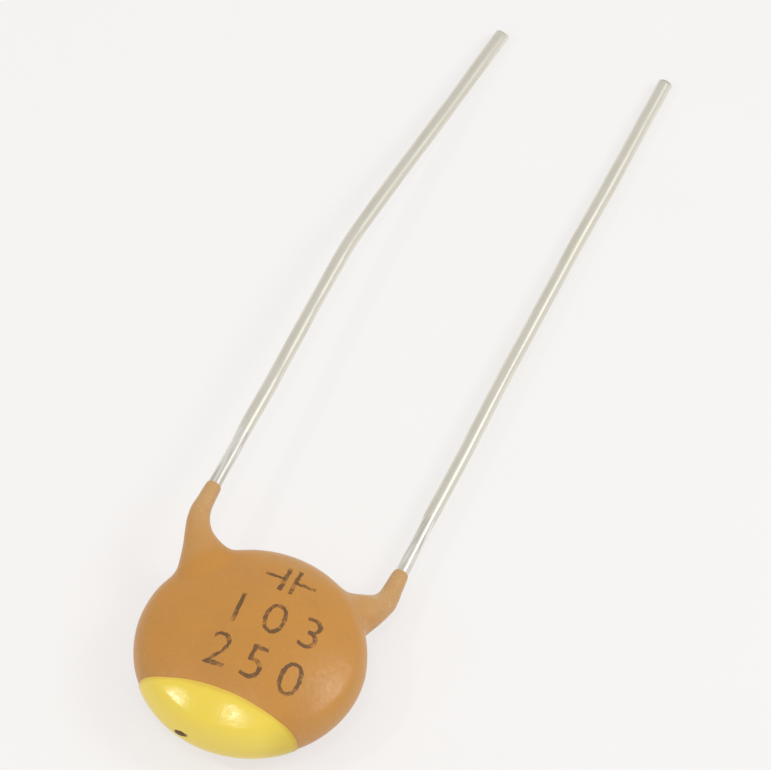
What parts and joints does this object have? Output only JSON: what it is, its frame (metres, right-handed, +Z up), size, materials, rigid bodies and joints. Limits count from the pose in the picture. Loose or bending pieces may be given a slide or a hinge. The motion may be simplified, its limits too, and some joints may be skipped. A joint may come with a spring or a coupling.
{
  "type": "ceramic disc capacitor",
  "caption": "Ceramic disc capacitor with a dipped coating, a painted tip, coating run down its legs and formed leads, lying on a table.",
  "frame": {"origin": "point on the table under the middle of the disc, where the rear face rests", "axes": "+Y along the leads towards their tips, +X from the front lead to the rear lead, +Z up out of the front face"},
  "size_m": [0.0091, 0.0348, 0.0036],
  "materials": {
    "coating_resin": "satin dipped resin, orange-brown",
    "tip_paint": "glossy dipped paint, yellow",
    "tinned_wire": "drawn wire, bright near the body and solder-dipped to the tip",
    "solder": "soft solder, dull",
    "fired_silver": "fired silver, matt",
    "ceramic": "sintered ceramic, matt, tan"
  },
  "bodies": {
    "root": {"ceramic_disc": "ceramic", "front_electrode": "fired_silver", "rear_electrode": "fired_silver", "front_solder": "solder", "rear_solder": "solder", "front_lead": "tinned_wire", "rear_lead": "tinned_wire", "coating": "coating_resin", "colour_tip": "tip_paint"}
  },
  "joints": []
}
